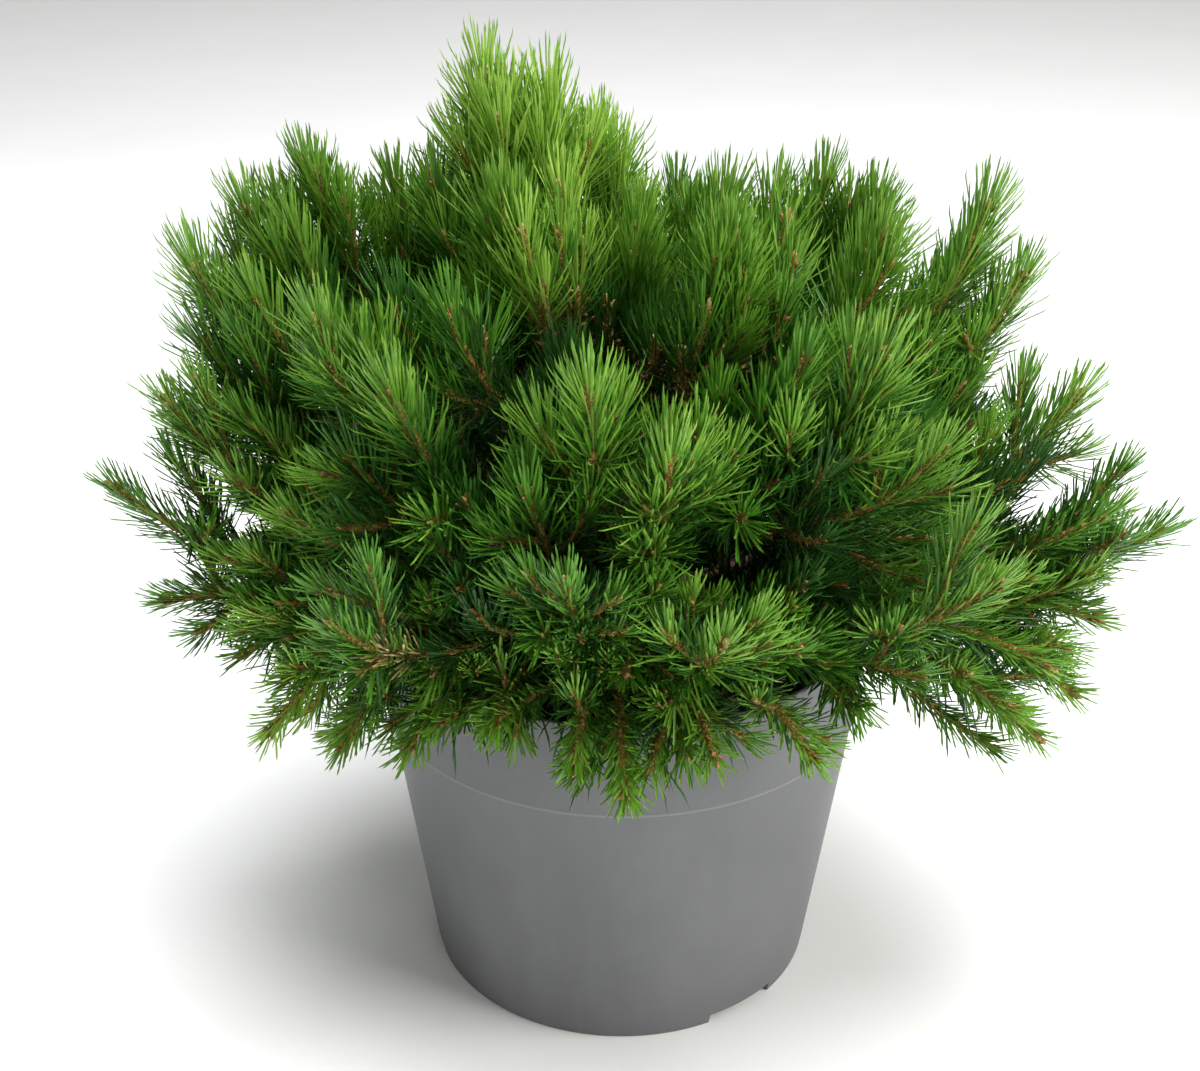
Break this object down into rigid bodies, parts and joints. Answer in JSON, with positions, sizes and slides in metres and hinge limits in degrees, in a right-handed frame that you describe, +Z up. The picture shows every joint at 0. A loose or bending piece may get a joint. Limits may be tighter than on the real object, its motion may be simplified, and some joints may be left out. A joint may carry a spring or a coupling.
{
  "type": "potted mugo pine",
  "caption": "Low bushy mugo pine with upswept needle-clad shoots, growing in a round tapered nursery pot of grey plastic filled with dark soil.",
  "frame": {"origin": "the middle of the pot's flat underside, where it stands on the ground", "axes": "+Z up, +X to the plant's right and +Y away to its back, seen from its front"},
  "size_m": [0.6147, 0.4994, 0.5499],
  "materials": {
    "pot_plastic": "injection-moulded grey polypropylene with a fine satin surface",
    "potting_soil": "damp dark peat and bark fines",
    "bark": "scaly orange-brown pine bark",
    "needles": "stiff waxy green pine needles"
  },
  "bodies": {
    "root": {"pot": "pot_plastic", "soil": "potting_soil", "trunk": "bark", "bough_leader": "bark", "bough_crown_left": "bark", "bough_crown_front": "bark", "bough_crown_back": "bark", "bough_shoulder_left": "bark", "bough_shoulder_back_left": "bark", "bough_shoulder_back": "bark", "bough_shoulder_back_right": "bark", "bough_shoulder_right": "bark", "bough_shoulder_front_right": "bark", "bough_shoulder_front": "bark", "bough_shoulder_front_left": "bark", "bough_side_left": "bark", "bough_side_back_left": "bark", "bough_side_back": "bark", "bough_side_back_right": "bark", "bough_side_right": "bark", "bough_side_front_right": "bark", "bough_side_front": "bark", "bough_side_front_left": "bark", "bough_skirt_left": "bark", "bough_skirt_front_left": "bark", "bough_skirt_front": "bark", "bough_skirt_front_right": "bark", "bough_skirt_right": "bark", "bough_skirt_back_right": "bark", "bough_skirt_back": "bark", "bough_skirt_back_left": "bark", "foliage_leader": "needles", "foliage_crown_left": "needles", "foliage_crown_front": "needles", "foliage_crown_back": "needles", "foliage_shoulder_left": "needles", "foliage_shoulder_back_left": "needles", "foliage_shoulder_back": "needles", "foliage_shoulder_back_right": "needles", "foliage_shoulder_right": "needles", "foliage_shoulder_front_right": "needles", "foliage_shoulder_front": "needles", "foliage_shoulder_front_left": "needles", "foliage_side_left": "needles", "foliage_side_back_left": "needles", "foliage_side_back": "needles", "foliage_side_back_right": "needles", "foliage_side_right": "needles", "foliage_side_front_right": "needles", "foliage_side_front": "needles", "foliage_side_front_left": "needles", "foliage_skirt_left": "needles", "foliage_skirt_front_left": "needles", "foliage_skirt_front": "needles", "foliage_skirt_front_right": "needles", "foliage_skirt_right": "needles", "foliage_skirt_back_right": "needles", "foliage_skirt_back": "needles", "foliage_skirt_back_left": "needles"}
  },
  "joints": []
}
